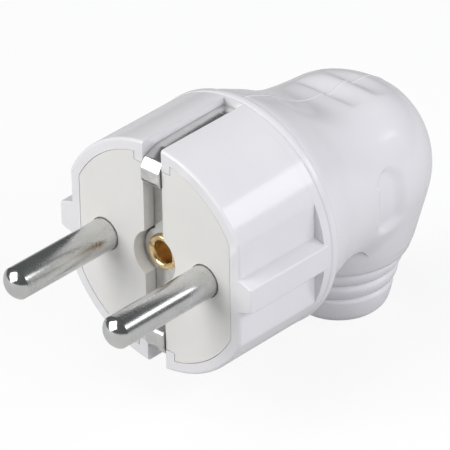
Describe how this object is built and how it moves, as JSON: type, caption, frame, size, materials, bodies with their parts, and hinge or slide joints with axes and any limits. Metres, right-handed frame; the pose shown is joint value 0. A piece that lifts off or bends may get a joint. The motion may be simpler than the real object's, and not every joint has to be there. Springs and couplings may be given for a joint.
{
  "type": "angled plug",
  "caption": "Right-angle earthed mains plug with round pins, a metal earth strip in slots at top and bottom, guide keys and a ribbed sleeve that sends the cable down.",
  "frame": {"origin": "middle of the flat front face, halfway between the two pins, on the plane the pins stand on", "axes": "-Y the way the pins point, -Z the way the cable leaves, +X to the side through the pins"},
  "size_m": [0.0364, 0.0708, 0.0425],
  "materials": {
    "housing_plastic": "smooth cool white, soft gloss",
    "carrier_plastic": "satin white",
    "plated_pin": "polished nickel plate",
    "plated_strip": "bright nickel-plated strip",
    "brass": "turned, bright",
    "screw_steel": "zinc plated",
    "clamp_plastic": "satin white",
    "sleeve_plastic": "soft white, satin"
  },
  "bodies": {
    "root": {"housing": "housing_plastic", "contact_carrier": "carrier_plastic", "live_pin": "plated_pin", "neutral_pin": "plated_pin", "terminal_screws": "screw_steel", "earth_stirrup": "plated_strip", "centre_screw": "brass", "housing_nut": "screw_steel", "earth_washer": "screw_steel", "earth_screw": "screw_steel", "cord_saddle": "clamp_plastic", "cord_clamp": "clamp_plastic", "clamp_screws": "screw_steel", "cable_sleeve": "sleeve_plastic"}
  },
  "joints": []
}
